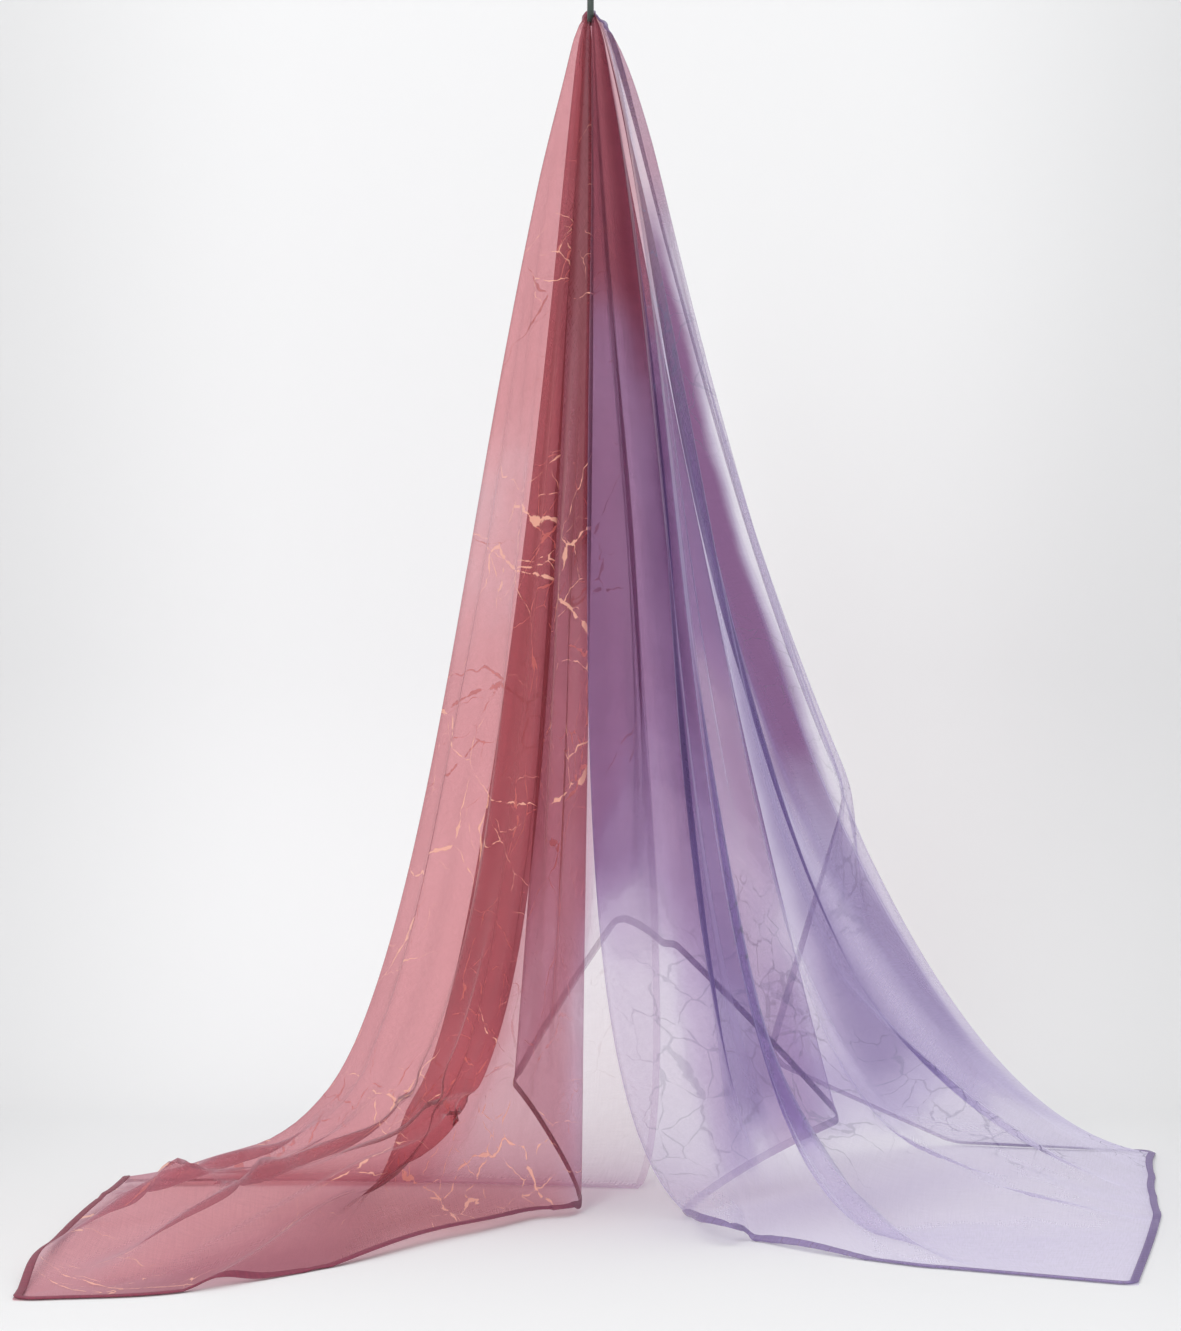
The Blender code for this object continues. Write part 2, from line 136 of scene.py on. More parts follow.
class Nodes:
    """The nodes of one material."""

    def __init__(self, name):
        self.material = bpy.data.materials.new(name)
        self.material.use_nodes = True
        self.tree = self.material.node_tree
        self.shader = self.tree.nodes["Principled BSDF"]
        self.output = self.tree.nodes["Material Output"]

    def put(self, socket, value):
        """Links a value to a socket, or sets the socket to a plain number, colour or vector."""
        if isinstance(value, Value):
            self.tree.links.new(value.socket, socket)
        elif socket.type == "RGBA":
            socket.default_value = (*value, 1.0)
        else:
            socket.default_value = value

    def add(self, kind, settings, values, result=0):
        """Adds a node of a type, with its settings and then its sockets' values or links."""
        node = self.tree.nodes.new(kind)
        for name, setting in settings.items():
            setattr(node, name, setting)
        pairs = values.items() if isinstance(values, dict) else enumerate(values)
        for name, value in pairs:
            self.put(node.inputs[name], value)
        return Value(self, node.outputs[result])

    def vector(self, operation, *values):
        return self.add("ShaderNodeVectorMath", {"operation": operation}, values)

    def mix(self, share, first, second):
        """A colour between two colours."""
        return self.add("ShaderNodeMix", {"data_type": "RGBA"}, {0: share, 6: first, 7: second}, 2)

    def ramp(self, share, stops):
        """A colour from rows of a place from 0 to 1 and a colour."""
        colour = self.add("ShaderNodeValToRGB", {}, {0: share})
        elements = colour.socket.node.color_ramp.elements
        while len(elements) < len(stops):
            elements.new(1.0)
        for element, (place, shade) in zip(elements, stops):
            element.position = place
            element.color = (*shade, 1.0)
        return colour

    def noise(self, place, scale, detail=2.0, roughness=0.5):
        """Soft noise from 0 to 1 at a place."""
        values = {"Vector": place, "Scale": scale, "Detail": detail, "Roughness": roughness}
        return self.add("ShaderNodeTexNoise", {}, values)

    def clear(self, tint):
        """A shader that lets light through in a colour."""
        return self.add("ShaderNodeBsdfTransparent", {}, {0: tint})

    def blend(self, share, first, second):
        """A shader between two shaders."""
        return self.add("ShaderNodeMixShader", {}, [share, first, second])

    def show(self, shader):
        """Makes a shader the material's surface."""
        self.put(self.output.inputs["Surface"], shader)

    def principled(self, **values):
        """Sets the material's main shader, which the material shows unless another is set."""
        for name, value in values.items():
            self.put(self.shader.inputs[name.replace("_", " ")], value)
        return Value(self, self.shader.outputs[0])


def sheet_mesh(name, places, close_round=False):
    """A smooth mesh of quads over a grid of places, closed round its second way if asked."""
    rows, columns = places.shape[:2]
    index = np.arange(rows * columns).reshape(rows, columns)
    if close_round:
        index = np.concatenate((index, index[:, :1]), axis=1)
    corners = (index[:-1, :-1], index[1:, :-1], index[1:, 1:], index[:-1, 1:])
    quads = np.stack(corners, axis=-1).reshape(-1, 4)
    mesh = bpy.data.meshes.new(name)
    mesh.from_pydata(places.reshape(-1, 3), [], quads)
    mesh.shade_smooth()
    return mesh


def new_piece(name, mesh, material):
    """An object at the origin that shows a mesh in one material."""
    piece = bpy.data.objects.new(name, mesh)
    bpy.context.scene.collection.objects.link(piece)
    mesh.materials.append(material)
    return piece


def sweep_line(steps=24):
    """The floor, a quarter circle and the wall, from front to back, as distance and height."""
    turn = np.linspace(0.0, math.pi / 2, steps)
    corner = SWEEP_BACK - SWEEP_RADIUS
    bend = np.stack((corner + SWEEP_RADIUS * np.sin(turn), SWEEP_RADIUS * (1 - np.cos(turn))), -1)
    return np.vstack(((SWEEP_FRONT, 0.0), bend, (SWEEP_BACK, SWEEP_TOP)))


def sweep_places():
    """The sweep's line at its left and at its right side."""
    line = sweep_line()
    places = np.empty((len(line), 2, 3))
    places[..., 0] = (-SWEEP_HALF_WIDTH, SWEEP_HALF_WIDTH)
    places[..., 1] = line[:, :1]
    places[..., 2] = ground + line[:, 1:]
    return places


def paper_with_side_shade():
    """Matt paper, with painted shade that darkens it towards the sides."""
    nodes = Nodes("paper")
    place = nodes.add("ShaderNodeTexCoord", {}, {}, 3)
    across = nodes.add("ShaderNodeSeparateXYZ", {}, {0: place})
    # Painted shade: the paper's colour darkens away from the middle, where less light falls.
    side_shade = across.math("ABSOLUTE", across).between(*PAPER_SHADE_SPAN)
    shade = nodes.mix(side_shade, PAPER, [part * PAPER_SHADED_EDGE for part in PAPER])
    nodes.principled(Base_Color=shade, Roughness=0.9)
    return nodes.material


new_piece("paper_sweep", sheet_mesh("paper_sweep", sweep_places()), paper_with_side_shade())

# A large soft lamp stands at the front left and a weaker one at the right, and one hangs overhead.
# Each row is a place above the ground, a width and height, and a power in watts.
LAMPS_AIM_AT = 0.35
WORLD_STRENGTH = 0.70
LAMPS = {
    "key": ((-1.0, -2.6, 1.4), (1.2, 1.2), 36.0),
    "fill": ((2.2, -1.8, 0.6), (1.6, 2.0), 8.0),
    "top": ((0.0, 0.2, 2.0), (2.4, 2.0), 8.0),
}
for name, (place, size, power) in LAMPS.items():
    lamp = bpy.data.lights.new(name, "AREA")
    lamp.shape = "RECTANGLE"
    lamp.size, lamp.size_y = size
    lamp.energy = power
    holder = bpy.data.objects.new(name, lamp)
    bpy.context.scene.collection.objects.link(holder)
    holder.location = (place[0], place[1], ground + place[2])
    backwards = holder.location - mathutils.Vector((0.0, 0.0, ground + LAMPS_AIM_AT))
    holder.rotation_euler = backwards.to_track_quat("Z", "Y").to_euler()
world = bpy.data.worlds.new("studio")
bpy.context.scene.world = world
world.use_nodes = True
world.node_tree.nodes["Background"].inputs["Color"].default_value = (1.0, 1.0, 1.0, 1.0)
world.node_tree.nodes["Background"].inputs["Strength"].default_value = WORLD_STRENGTH
bpy.context.scene.view_settings.view_transform = "Standard"
# A line of sight passes through many layers of the sheer cloth.
bpy.context.scene.cycles.transparent_max_bounces = 48
bpy.context.scene.cycles.max_bounces = 10

# ---------------------------------------------------------------------------------------------
# The cloth is one rectangle of printed chiffon, pinched over the hook at the middle of a long
# edge. It falls in pleats that open like a fan, and its two ends are laid out on the floor.

FLAT_LENGTH = 1.80
FLAT_WIDTH = 0.70
PINCH_HEIGHT = 0.790
# The cloth starts this far from the pinched point, and fold lines are worked out up to LONGEST.
PINCH_RADIUS = 0.003
LONGEST = 1.4
# The cloth between a fold's two corners at the hook, what it gains in each metre down, the most of
# the room to the next fold that half of it takes, and how round its corners are.
TURN_AT_HOOK = 0.0030
TURN_PER_METRE = 0.0080
TURN_SHARE = 0.26
CORNER_ROUNDING = 0.8
# How soon a fold's swell over the hook is full, and the height and the place of a small lobe that
# every fold has there.
SHOULDER_REACH = 0.030
LOBE = 0.0040
LOBE_DOWN = 0.012
# The even step along a fold line, over which its bends are softened.
SOFTENING = 0.012
# The cloth's least height above the floor.
FLOOR_GAP = 0.0006
# Under this a length or a sine is taken as this, so that nothing is divided by zero.
TINY = 1e-9

# One row for each fold, in the order of the cloth, as in the part's source: its angle on the flat
# cloth, the points "knee", "heel" and "foot" of its curve, and its swell over the hook.
FOLDS = {
    "left_edge":    (0.0, (0.020, 0.115, 0.520), (0.075, 0.180, 0.020), (0.033, 0.022, 0.0), 0.004),
    "left_side":    (20.0, (-0.084, 0.011, 0.554), (-0.102, 0.110, 0.052), (-0.229, 0.092, 0.010), 0.003),
    "rose_front":   (37.9, (-0.036, -0.059, 0.437), (-0.012, -0.049, 0.032), (-0.130, -0.134, 0.044), 0.002),
    "rose_back":    (47.0, (-0.025, 0.028, 0.487), (-0.079, 0.004, 0.085), (-0.116, -0.039, 0.065), 0.012),
    "middle_front": (62.0, (0.004, -0.100, 0.505), (-0.010, -0.100, 0.200), (-0.007, -0.039, 0.0), 0.002),
    "inner_rose":   (76.5, (-0.020, 0.020, 0.500), (-0.035, 0.030, 0.250), (-0.052, 0.050, 0.068), 0.003),
    "inner_violet": (88.0, (0.003, -0.025, 0.560), (0.042, 0.020, 0.370), (0.020, 0.060, 0.177), 0.004),
    "inner_pale":   (98.5, (0.016, 0.045, 0.600), (0.034, 0.060, 0.370), (0.055, 0.100, 0.157), 0.005),
    "inner_right":  (110.5, (0.055, -0.010, 0.500), (0.110, 0.010, 0.250), (0.168, 0.040, 0.045), 0.005),
    "violet_front": (121.5, (0.006, -0.125, 0.510), (-0.030, -0.120, 0.070), (0.065, -0.086, 0.0), 0.012),
    "valley":       (129.3, (0.048, -0.105, 0.500), (0.067, -0.020, 0.046), (0.103, -0.181, 0.0), 0.012),
    "pleat_front":  (136.5, (0.066, -0.175, 0.510), (0.045, -0.070, -0.020), (0.203, -0.271, 0.0), 0.014),
    "pleat_lying":  (142.1, (0.078, -0.135, 0.480), (0.060, -0.040, -0.055), (0.210, -0.180, 0.0), 0.010),
    "pleat_right":  (153.0, (0.115, -0.050, 0.400), (0.080, -0.010, 0.040), (0.360, -0.080, 0.0), 0.004),
    "outer_valley": (157.5, (0.062, -0.010, 0.450), (0.120, 0.030, 0.040), (0.370, -0.010, 0.0), 0.012),
    "outer_front":  (162.5, (0.050, 0.040, 0.440), (0.140, 0.060, 0.090), (0.385, 0.070, 0.0), 0.022),
    "right_side":   (168.7, (0.085, 0.070, 0.490), (0.190, 0.090, 0.035), (0.405, 0.190, 0.0), 0.028),
    "right_edge":   (180.0, (0.075, 0.120, 0.520), (0.130, 0.140, 0.360), (0.178, 0.150, 0.262), 0.022),
}
# Where a fold carries on along the floor past its foot, through these places.
RUNS = {
    "left_side": ((-0.315, 0.036, 0.005),),
    "rose_front": ((-0.245, -0.270, 0.0), (-0.318, -0.357, 0.0)),
    "rose_back": ((-0.131, -0.097, 0.022), (-0.157, -0.227, 0.0)),
    "pleat_lying": ((0.308, -0.324, 0.0),),
    "right_edge": ((0.122, 0.150, 0.072), (0.270, 0.230, 0.0)),
}
# The way that a fold points past its end, where its line would else carry straight on.
ONWARD = {
    "left_edge": (-0.60, -0.50), "left_side": (-0.80, -0.60), "rose_front": (-0.80, -0.60),
    "rose_back": (-0.50, -0.87), "middle_front": (-0.20, -1.40), "violet_front": (0.20, -1.00),
    "valley": (0.50, -0.90), "pleat_front": (0.60, -0.90), "pleat_lying": (0.60, -0.80),
    "pleat_right": (0.80, -0.60), "outer_valley": (0.80, -0.60), "outer_front": (0.80, -0.40),
    "right_side": (0.80, -0.20), "right_edge": (0.80, 0.00),
}
# How far a fold's two corners lie one over the other instead of side by side.
LAID_OVER = {"left_side": 1.0}
# The share of its turn that a fold keeps at its end, where its two layers lie flat on the floor,
# and the distances from the hook between which it tightens.
TIGHTENED = {"left_side": 0.3}
TIGHTENS = (0.5, 0.9)

NAMES = tuple(FOLDS)
ANGLES = np.radians([row[0] for row in FOLDS.values()])


def reach(angle):
    """Cloth from the pinched point to the cut edge: the nearer of the far edge and the end."""
    sine = np.maximum(np.sin(angle), TINY)
    cosine = np.maximum(np.abs(np.cos(angle)), TINY)
    return np.minimum(FLAT_WIDTH / sine, FLAT_LENGTH / 2 / cosine)


def arc_lengths(points):
    """Distance along a line of points, from its first one."""
    steps = np.linalg.norm(np.diff(points, axis=0), axis=1)
    return np.concatenate(([0.0], np.cumsum(steps)))


def unit(vectors):
    """Vectors of length one."""
    return vectors / np.maximum(np.linalg.norm(vectors, axis=-1, keepdims=True), TINY)


def fold_line(name, steps=160, run_steps=40):
    """A cubic curve from the hook to the foot, then straight runs, each with the swell added.

    The swell grows to its full size within the first centimetres and fades towards the foot.
    """
    _, knee, heel, foot, shoulder = FOLDS[name]
    top, knee, heel, foot = np.array(((0.0, 0.0, PINCH_HEIGHT), knee, heel, foot))
    t = np.linspace(0.0, 1.0, steps)[:, None]
    line = (1 - t) ** 3 * top + 3 * (1 - t) ** 2 * t * knee + 3 * (1 - t) * t ** 2 * heel
    line += t ** 3 * foot
    run = np.linspace(0.0, 1.0, run_steps)[1:, None]
    for place in RUNS.get(name, ()):
        line = np.vstack((line, line[-1] + (np.array(place) - line[-1]) * run))
    down = arc_lengths(line)
    swell = shoulder * (1 - np.exp(-down / SHOULDER_REACH)) * (1 - down / down[-1])
    swell += LOBE * down / LOBE_DOWN * np.exp(1 - down / LOBE_DOWN)
    line[:, :2] += swell[:, None] * unit(knee[:2])
    return line


def measured_line(name):
    """The fold's line at even steps of the cloth's own distance from the hook.

    The cloth's reach along the fold is spread evenly over the line. Past the foot the line carries
    on straight. Each point is then the mean of its neighbourhood, so that the line lands softly.
    """
    line = fold_line(name)
    distance = arc_lengths(line)
    distance = distance / distance[-1] * reach(ANGLES[NAMES.index(name)])
    onward = (line[-1] - line[-4]) / (distance[-1] - distance[-4])
    if name in ONWARD:
        onward = np.array((*ONWARD[name], 0.0))
    line = np.vstack((line, line[-1] + onward))
    distance = np.append(distance, distance[-1] + 1.0)
    even = np.arange(-SOFTENING, LONGEST, SOFTENING)
    before = line[0] + (line[1] - line[0]) / distance[1] * np.minimum(even, 0.0)[:, None]
    points = np.stack([np.interp(even, distance, line[:, axis]) for axis in range(3)], axis=-1)
    points = np.where(even[:, None] < 0, before, points)
    soft = (points[:-2] + 2 * points[1:-1] + points[2:]) / 4
    return even[1:-1], soft, unit(np.gradient(soft, axis=0))


LINES = [measured_line(name) for name in NAMES]


def at_distance(distance, along, values):
    """Values at distances from the hook, between those given at steps along a line."""
    return np.stack([np.interp(distance, along, values[:, axis]) for axis in range(3)], axis=-1)


def fold_turn(distance, fold):
    """Half the cloth between a fold's two corners, as an angle, and never up to the next fold."""
    turn = (TURN_AT_HOOK + TURN_PER_METRE * distance) / (2 * np.maximum(distance, 1e-3))
    turn = turn * np.interp(distance, TIGHTENS, (1.0, TIGHTENED.get(NAMES[fold], 1.0)))
    room = min(ANGLES[fold] - ANGLES[fold - 1], ANGLES[fold + 1] - ANGLES[fold])
    return np.minimum(turn, TURN_SHARE * room)


def pleats(angle, distance):
    """Places of cloth points in the pleats, given by their angle and distance on the flat cloth.

    Each fold turns round two corners that lie on either side of its line, square to it and across
    the way that the cloth folds, or in the panels' own directions where the fold has opened out
    flat. Between corners the cloth runs straight. Each change of direction is a ramp that is eased
    over the corner's rounding, and the ramps add.
    """
    lines = [at_distance(distance, along, line) for along, line, _ in LINES]
    corners, places, rounds = [np.full_like(angle, ANGLES[0])], [lines[0]], [None]
    for fold in range(1, len(ANGLES) - 1):
        turn = fold_turn(distance, fold)
        before = (lines[fold] - lines[fold - 1]) / (ANGLES[fold] - ANGLES[fold - 1])
        after = (lines[fold + 1] - lines[fold]) / (ANGLES[fold + 1] - ANGLES[fold])
        along = at_distance(distance, LINES[fold][0], LINES[fold][2])
        across = unit(before) + unit(after)
        across[..., 2] += LAID_OVER.get(NAMES[fold], 0.0)
        across = unit(across - along * np.sum(across * along, axis=-1, keepdims=True))
        folded = across * (turn * distance)[..., None]
        open_share = np.clip(np.sum(unit(before) * unit(after), axis=-1), 0.0, 1.0)[..., None] ** 2
        opened = turn[..., None] * open_share
        places.append(lines[fold] - folded * (1 - open_share) - before * opened)
        places.append(lines[fold] + folded * (1 - open_share) + after * opened)
        corners += [ANGLES[fold] - turn, ANGLES[fold] + turn]
        rounds += [CORNER_ROUNDING * turn] * 2
    corners.append(np.full_like(angle, ANGLES[-1]))
    places.append(lines[-1])
    slopes = [
        (places[i + 1] - places[i]) / (corners[i + 1] - corners[i])[..., None]
        for i in range(len(corners) - 1)
    ]
    found = places[0] + slopes[0] * (angle - corners[0])[..., None]
    for i in range(1, len(slopes)):
        past, rounding = angle - corners[i], rounds[i]
        eased = np.where(past > rounding, past, (past + rounding) ** 2 / (4 * rounding))
        eased = np.where(past < -rounding, 0.0, eased)
        found = found + (slopes[i] - slopes[i - 1]) * eased[..., None]
    return found


# One row for each crease: its angle in degrees on the flat cloth where it starts and where it
# ends, its distances from the hook there, its half width, and its height, below zero for a trough.
# The heights are multiplied by the first share of CREASE_GROWTH up to the first distance of
# CREASES_GROW from the hook, and by the second share past the second.
CREASE_GROWTH = (0.7, 1.7)
CREASES_GROW = (0.10, 0.55)
CREASES = (
    (3.0, 5.0, 0.10, 0.55, 0.0090, 0.0030),
    (8.5, 7.0, 0.18, 0.80, 0.0120, -0.0040),
    (13.0, 14.5, 0.08, 0.46, 0.0080, 0.0025),
    (16.5, 15.0, 0.40, 0.92, 0.0110, 0.0035),
    (22.5, 23.5, 0.12, 0.52, 0.0070, -0.0028),
    (25.5, 24.0, 0.30, 0.86, 0.0100, 0.0040),
    (28.0, 29.5, 0.06, 0.34, 0.0050, 0.0020),
    (30.5, 28.0, 0.44, 1.02, 0.0120, -0.0045),
    (33.0, 32.0, 0.16, 0.66, 0.0080, 0.0030),
    (35.0, 36.0, 0.58, 1.06, 0.0090, 0.0042),
    (26.5, 31.5, 0.78, 1.00, 0.0130, 0.0050),
    (40.5, 41.5, 0.14, 0.58, 0.0060, -0.0024),
    (44.0, 42.5, 0.46, 0.98, 0.0090, 0.0038),
    (49.5, 50.5, 0.10, 0.50, 0.0060, 0.0022),
    (53.0, 51.5, 0.34, 0.84, 0.0090, -0.0035),
    (57.0, 58.0, 0.20, 0.70, 0.0080, 0.0030),
    (60.0, 56.5, 0.62, 0.80, 0.0070, 0.0040),
    (66.0, 67.5, 0.14, 0.62, 0.0080, -0.0030),
    (71.0, 70.0, 0.30, 0.72, 0.0100, 0.0036),
    (80.0, 81.5, 0.10, 0.48, 0.0070, 0.0026),
    (84.5, 83.5, 0.34, 0.68, 0.0090, -0.0032),
    (92.0, 93.0, 0.16, 0.60, 0.0080, 0.0030),
    (101.5, 103.0, 0.22, 0.66, 0.0090, -0.0034),
    (106.5, 105.5, 0.08, 0.44, 0.0060, 0.0024),
    (113.5, 114.5, 0.26, 0.72, 0.0090, 0.0038),
    (117.5, 116.5, 0.12, 0.52, 0.0070, -0.0026),
    (124.0, 124.8, 0.30, 0.74, 0.0070, 0.0030),
    (126.5, 126.0, 0.12, 0.44, 0.0050, -0.0018),
    (132.0, 133.0, 0.40, 0.88, 0.0080, 0.0034),
    (134.2, 133.4, 0.14, 0.50, 0.0050, -0.0020),
    (139.5, 139.0, 0.46, 1.00, 0.0080, 0.0036),
    (145.0, 146.0, 0.20, 0.62, 0.0060, -0.0024),
    (148.5, 147.0, 0.36, 1.04, 0.0100, 0.0044),
    (150.5, 151.0, 0.58, 0.96, 0.0080, -0.0036),
    (155.3, 155.0, 0.30, 0.84, 0.0060, 0.0026),
    (160.0, 159.6, 0.16, 0.66, 0.0050, -0.0022),
    (165.0, 165.8, 0.22, 0.78, 0.0070, 0.0032),
    (171.0, 172.0, 0.10, 0.52, 0.0080, -0.0030),
    (174.5, 173.0, 0.28, 0.86, 0.0110, 0.0040),
    (177.5, 177.0, 0.16, 0.60, 0.0080, 0.0030),
    (143.0, 152.5, 0.80, 0.94, 0.0200, 0.0055),
    (36.5, 24.5, 0.88, 0.99, 0.0200, 0.0055),
    (22.0, 36.5, 0.78, 1.13, 0.0240, 0.0105),
    (31.5, 37.0, 0.74, 1.08, 0.0180, 0.0090),
    (17.0, 23.0, 0.74, 0.95, 0.0280, 0.0050),
    (40.0, 44.0, 0.80, 1.08, 0.0220, 0.0060),
    (146.0, 150.5, 0.76, 1.04, 0.0210, 0.0080),
    (153.0, 157.0, 0.72, 0.96, 0.0220, 0.0080),
    (140.5, 137.5, 0.74, 1.04, 0.0120, 0.0060),
)


def creased(along, down):
    """The height of the creases on the cloth.

    A crease is a bell across its line, and it grows and fades along it as half a sine wave.
    """
    angle = np.degrees(np.arctan2(down, along))
    distance = np.hypot(along, down)
    height = np.zeros_like(along)
    for first, last, start, end, width, depth in CREASES:
        share = np.clip((distance - start) / (end - start), 0.0, 1.0)
        off = np.radians(angle - first - (last - first) * share) * distance
        height += depth * np.exp(-(off / width) ** 2) * np.sin(math.pi * share)
    return height * np.interp(distance, CREASES_GROW, CREASE_GROWTH)


# How far the cloth parts round the wire, over what length below the hook, at what angle in degrees
# on the flat cloth, and how sharply there.
PARTED = 0.0014
PARTED_REACH = 0.012
PARTED_AT = 88.0
PARTED_SHARPLY = 6.0
# Where the cloth was pulled straight as it was laid out. Each row is a place along and down the
# flat cloth, how far round it the pull reaches, and the pull itself.
PULLS = (
    (0.90, 0.51, 0.120, (-0.016, 0.000, 0.0)),
    (0.90, 0.62, 0.060, (-0.005, 0.000, 0.0)),
    (0.78, 0.70, 0.100, (0.000, -0.045, 0.0)),
    (0.62, 0.70, 0.110, (0.000, -0.040, 0.0)),
    (0.46, 0.70, 0.070, (0.000, -0.024, 0.0)),
    (0.385, 0.70, 0.030, (0.000, -0.028, 0.0)),
    (-0.465, 0.70, 0.028, (-0.004, -0.040, 0.0)),
    (-0.505, 0.70, 0.032, (0.000, -0.050, 0.0)),
    (-0.90, 0.45, 0.220, (0.007, 0.000, 0.0)),
)
# The step across the cloth over which its slope is measured.
STEP = 0.0015


def fallen(along, down):
    """Places of cloth points in the pleats, parted to either side of the wire at the hook."""
    angle = np.arctan2(down, along)
    distance = np.maximum(np.hypot(along, down), PINCH_RADIUS)
    found = pleats(angle, distance)
    side = np.tanh((angle - math.radians(PARTED_AT)) * PARTED_SHARPLY)
    found[..., 0] += side * PARTED * np.exp(-distance / PARTED_REACH)
    for pulled_along, pulled_down, reaches, pull in PULLS:
        away = np.hypot(along - pulled_along, down - pulled_down) / reaches
        found = found + np.exp(-away ** 2)[..., None] * np.array(pull)
    return found


def draped(along, down, inset=0.0):
    """Places of cloth points, given on the flat cut, with the creases, and no lower than the floor.

    The creases move each point square to the cloth, which is found from the places a small step
    away along and down the cloth.
    """
    found = fallen(along, down)
    toward = np.where(np.abs(along) > FLAT_LENGTH / 4, -np.sign(along), 1.0) * STEP
    inward = np.where(down > FLAT_WIDTH / 2, -STEP, STEP)
    first = (fallen(along + toward, down) - found) / toward[..., None]
    second = (fallen(along, down + inward) - found) / inward[..., None]
    square = unit(np.cross(first, second))
    found = found + square * creased(along, down)[..., None]
    found[..., 2] = np.maximum(found[..., 2], FLOOR_GAP + inset) + ground
    return found


# The columns of the cloth's grid: how many lie round each fold, out to how many of its turns, how
# many lie in each degree of a panel, and how many at the least in a panel. Then the rows.
FOLD_COLUMNS = 15
FOLD_REACH = 2.0
PANEL_COLUMNS = 1.4
LEAST_COLUMNS = 3
GRID_ROWS = 200
# A column's angle and its distances depend on each other, and this many rounds settle them.
ROUNDS = 6


def fan_stations():
    """The grid's columns, each as a kind, a fold, and a count of turns or a share of the panel.

    They lie close together round each fold and evenly over the panels between the folds.
    """
    last = len(ANGLES) - 1
    stations = [("edge", 0, 0.0)]
    for fold in range(last):
        if fold > 0:
            turns = np.linspace(-FOLD_REACH, FOLD_REACH, FOLD_COLUMNS)
            stations += [("fold", fold, turn) for turn in turns]
        panel = np.degrees(ANGLES[fold + 1] - ANGLES[fold])
        count = max(LEAST_COLUMNS, int(panel * PANEL_COLUMNS))
        stations += [("panel", fold, share) for share in np.linspace(0.0, 1.0, count + 2)[1:-1]]
    return stations + [("edge", last, 0.0)]


def station_angle(kind, fold, part, distance):
    """The angle of one column at distances from the pinched point."""
    if kind == "edge":
        return np.full_like(distance, ANGLES[fold])
    if kind == "fold":
        return ANGLES[fold] + part * fold_turn(distance, fold)
    low, high = ANGLES[fold], ANGLES[fold + 1]
    if fold > 0:
        low = low + FOLD_REACH * fold_turn(distance, fold)
    if fold + 1 < len(ANGLES) - 1:
        high = high - FOLD_REACH * fold_turn(distance, fold + 1)
    return low + (high - low) * part


def fan_grid():
    """The flat cut as a grid: rows run out from the pinched point, columns are the stations."""
    share = np.linspace(0.0, 1.0, GRID_ROWS)
    columns = []
    for kind, fold, part in fan_stations():
        angle = np.full(GRID_ROWS, ANGLES[fold])
        for _ in range(ROUNDS):
            distance = PINCH_RADIUS + (reach(angle) - PINCH_RADIUS) * share
            angle = station_angle(kind, fold, part, distance)
        distance = PINCH_RADIUS + (reach(angle) - PINCH_RADIUS) * share
        columns.append(np.stack((distance * np.cos(angle), distance * np.sin(angle)), axis=-1))
    return np.stack(columns, axis=1)


# The print runs along the cloth from rose at one end to lavender at the other. Each row is a place
# from the lavender end to the rose end, as a share of the length, and the threads' colour there.
DYES = (
    (0.00, (0.44, 0.37, 0.64)),
    (0.20, (0.30, 0.22, 0.52)),
    (0.33, (0.20, 0.12, 0.34)),
    (0.42, (0.24, 0.10, 0.20)),
    (0.50, (0.30, 0.08, 0.11)),
    (0.66, (0.38, 0.10, 0.11)),
    (0.85, (0.34, 0.10, 0.12)),
    (1.00, (0.42, 0.16, 0.22)),
)
# The colours that light takes between the threads of one layer: a thin and a thick dye at the rose
# and at the lavender end, and the bare cloth.
CLEAR_ROSE = (0.97, 0.66, 0.68)
CLEAR_VIOLET = (0.84, 0.78, 0.97)
THICK_ROSE = (0.45, 0.13, 0.16)
THICK_VIOLET = (0.22, 0.15, 0.33)
BARE = (0.985, 0.97, 0.985)
# How the dye lies, as three shares: how thick it is, how violet, and how much of it is washed out.
# GROUND has a row for each angle in degrees on the flat cloth, seen from the pinched point.
GROUND = (
    (0.0, (0.0, 0.2, 0.6)),
    (15.0, (0.0, 0.0, 0.2)),
    (35.0, (0.1, 0.0, 0.1)),
    (55.0, (0.2, 0.1, 0.1)),
    (75.0, (0.2, 0.3, 0.2)),
    (100.0, (0.2, 0.5, 0.1)),
    (125.0, (0.2, 0.8, 0.2)),
    (150.0, (0.2, 1.0, 0.2)),
    (170.0, (0.2, 1.0, 0.4)),
    (180.0, (0.0, 1.0, 0.9)),
)
